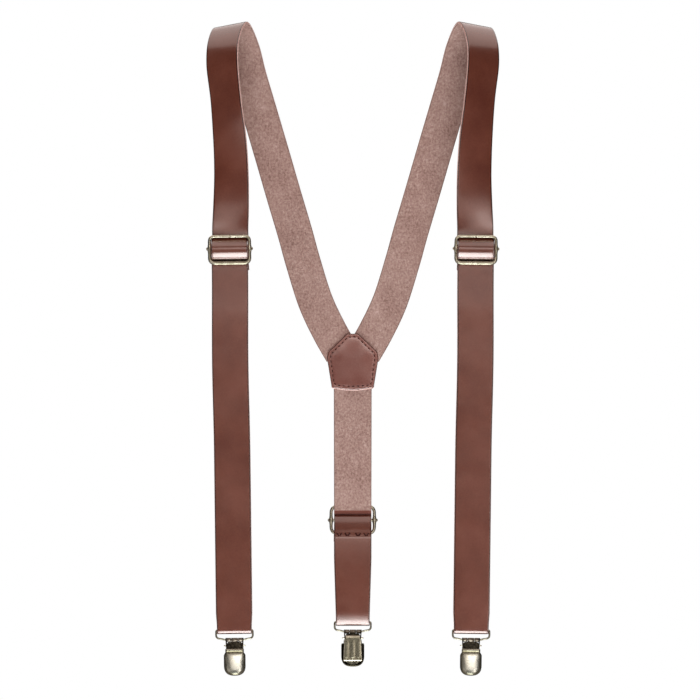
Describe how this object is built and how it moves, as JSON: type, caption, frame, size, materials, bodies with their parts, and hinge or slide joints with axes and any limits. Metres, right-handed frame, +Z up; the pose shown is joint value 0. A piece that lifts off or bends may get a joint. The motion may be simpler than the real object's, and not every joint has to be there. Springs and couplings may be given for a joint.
{
  "type": "suspenders",
  "caption": "Y-back strap-leather suspenders with sliding wire adjusters, sewn back patch and cam-lever clips that clamp a waistband.",
  "frame": {"origin": "midway between the shoulders, at the height where the undersides of the straps rest on them", "axes": "+Z up, +Y to the wearer's back, +X to the right as seen from the wearer's front"},
  "size_m": [0.2064, 0.0578, 0.4576],
  "materials": {
    "grain_leather": "satin smooth brown grain side",
    "suede_leather": "matte mottled flesh side",
    "patch_leather": "satin brown, sewn edge",
    "thread": "dark brown waxed thread",
    "antique_brass": "antique brass plate, worn bright on the high spots",
    "dark_metal": "dark antiqued steel",
    "grip_rubber": "matte ribbed"
  },
  "bodies": {
    "root": {"left_strap": "grain_leather", "right_strap": "grain_leather", "left_run": "grain_leather", "right_run": "grain_leather", "back_strap": "suede_leather", "back_run": "suede_leather", "patch_inner": "patch_leather", "patch_outer": "patch_leather", "patch_stitches": "thread"},
    "left_slider": {"left_slider_frame": "antique_brass", "left_slider_bar": "antique_brass", "left_strap_weave": "grain_leather", "left_strap_wrap": "grain_leather", "left_end_stitches": "thread", "left_loop_outer": "grain_leather", "left_loop_inner": "grain_leather"},
    "left_turn": {"left_strap_turn": "grain_leather"},
    "left_wire": {"left_hanger_wire": "antique_brass"},
    "left_clip": {"left_clip_shell": "antique_brass", "left_lever_pin": "antique_brass"},
    "left_jaw": {"left_clip_jaw": "dark_metal", "left_grip_pad": "grip_rubber"},
    "left_lever": {"left_clip_lever": "antique_brass"},
    "right_slider": {"right_slider_frame": "antique_brass", "right_slider_bar": "antique_brass", "right_strap_weave": "grain_leather", "right_strap_wrap": "grain_leather", "right_end_stitches": "thread", "right_loop_outer": "grain_leather", "right_loop_inner": "grain_leather"},
    "right_turn": {"right_strap_turn": "grain_leather"},
    "right_wire": {"right_hanger_wire": "antique_brass"},
    "right_clip": {"right_clip_shell": "antique_brass", "right_lever_pin": "antique_brass"},
    "right_jaw": {"right_clip_jaw": "dark_metal", "right_grip_pad": "grip_rubber"},
    "right_lever": {"right_clip_lever": "antique_brass"},
    "back_slider": {"back_slider_frame": "antique_brass", "back_slider_bar": "antique_brass", "back_strap_weave": "grain_leather", "back_strap_wrap": "grain_leather", "back_end_stitches": "thread", "back_loop_outer": "grain_leather", "back_loop_inner": "grain_leather"},
    "back_turn": {"back_strap_turn": "grain_leather"},
    "back_wire": {"back_hanger_wire": "antique_brass"},
    "back_clip": {"back_clip_shell": "antique_brass", "back_lever_pin": "antique_brass"},
    "back_jaw": {"back_clip_jaw": "dark_metal", "back_grip_pad": "grip_rubber"},
    "back_lever": {"back_clip_lever": "antique_brass"}
  },
  "joints": [
    {"name": "left_slider_slide", "type": "slide", "parent": "root", "child": "left_slider", "axis": [-0.0122, 0, 0.9999], "range_m": [-0.2, 0.04], "deforming": ["left_run"]},
    {"name": "left_clip_travel", "type": "slide", "parent": "left_slider", "child": "left_turn", "axis": [-0.0122, 0, 0.9999], "range_m": [-0.02, 0.1], "deforming": ["left_loop_outer", "left_loop_inner"]},
    {"name": "left_wire_swing", "type": "hinge", "parent": "left_turn", "child": "left_wire", "pos_m": [-0.08294, -0.01947, -0.42398], "axis": [0.9999, 0, 0.0122], "range_deg": [-55, 55]},
    {"name": "left_clip_swing", "type": "hinge", "parent": "left_wire", "child": "left_clip", "pos_m": [-0.08285, -0.01947, -0.43088], "axis": [0.9999, 0, 0.0122], "range_deg": [-40, 40]},
    {"name": "left_lever_turn", "type": "hinge", "parent": "left_clip", "child": "left_lever", "pos_m": [-0.0828, -0.01588, -0.43518], "axis": [0.9999, 0, 0.0122], "range_deg": [0, 90]},
    {"name": "left_jaw_turn", "type": "hinge", "parent": "left_clip", "child": "left_jaw", "pos_m": [-0.08285, -0.01947, -0.43088], "axis": [0.9999, 0, 0.0122], "range_deg": [0, 10.8]},
    {"name": "right_slider_slide", "type": "slide", "parent": "root", "child": "right_slider", "axis": [0.0122, 0, 0.9999], "range_m": [-0.2, 0.04], "deforming": ["right_run"]},
    {"name": "right_clip_travel", "type": "slide", "parent": "right_slider", "child": "right_turn", "axis": [0.0122, 0, 0.9999], "range_m": [-0.02, 0.1], "deforming": ["right_loop_outer", "right_loop_inner"]},
    {"name": "right_wire_swing", "type": "hinge", "parent": "right_turn", "child": "right_wire", "pos_m": [0.08294, -0.01947, -0.42398], "axis": [0.9999, 0, -0.0122], "range_deg": [-55, 55]},
    {"name": "right_clip_swing", "type": "hinge", "parent": "right_wire", "child": "right_clip", "pos_m": [0.08285, -0.01947, -0.43088], "axis": [0.9999, 0, -0.0122], "range_deg": [-40, 40]},
    {"name": "right_lever_turn", "type": "hinge", "parent": "right_clip", "child": "right_lever", "pos_m": [0.0828, -0.01588, -0.43518], "axis": [0.9999, 0, -0.0122], "range_deg": [0, 90]},
    {"name": "right_jaw_turn", "type": "hinge", "parent": "right_clip", "child": "right_jaw", "pos_m": [0.08285, -0.01947, -0.43088], "axis": [0.9999, 0, -0.0122], "range_deg": [0, 10.8]},
    {"name": "back_slider_slide", "type": "slide", "parent": "root", "child": "back_slider", "axis": [0, 0, 1], "range_m": [-0.04, 0.05], "deforming": ["back_run"]},
    {"name": "back_clip_travel", "type": "slide", "parent": "back_slider", "child": "back_turn", "axis": [0, 0, 1], "range_m": [-0.025, 0.02], "deforming": ["back_loop_outer", "back_loop_inner"]},
    {"name": "back_wire_swing", "type": "hinge", "parent": "back_turn", "child": "back_wire", "pos_m": [0, 0.01947, -0.421], "axis": [-1, 0, 0], "range_deg": [-55, 55]},
    {"name": "back_clip_swing", "type": "hinge", "parent": "back_wire", "child": "back_clip", "pos_m": [0, 0.01947, -0.4279], "axis": [-1, 0, 0], "range_deg": [-40, 40]},
    {"name": "back_lever_turn", "type": "hinge", "parent": "back_clip", "child": "back_lever", "pos_m": [0, 0.01588, -0.4322], "axis": [-1, 0, 0], "range_deg": [0, 90]},
    {"name": "back_jaw_turn", "type": "hinge", "parent": "back_clip", "child": "back_jaw", "pos_m": [0, 0.01947, -0.4279], "axis": [-1, 0, 0], "range_deg": [0, 10.8]}
  ],
  "couplings": [
    {"joint": "left_clip_travel", "follows": "left_slider_slide", "ratio": -0.5},
    {"joint": "left_jaw_turn", "follows": "left_lever_turn", "ratio": 0.12},
    {"joint": "right_clip_travel", "follows": "right_slider_slide", "ratio": -0.5},
    {"joint": "right_jaw_turn", "follows": "right_lever_turn", "ratio": 0.12},
    {"joint": "back_clip_travel", "follows": "back_slider_slide", "ratio": -0.5},
    {"joint": "back_jaw_turn", "follows": "back_lever_turn", "ratio": 0.12}
  ]
}
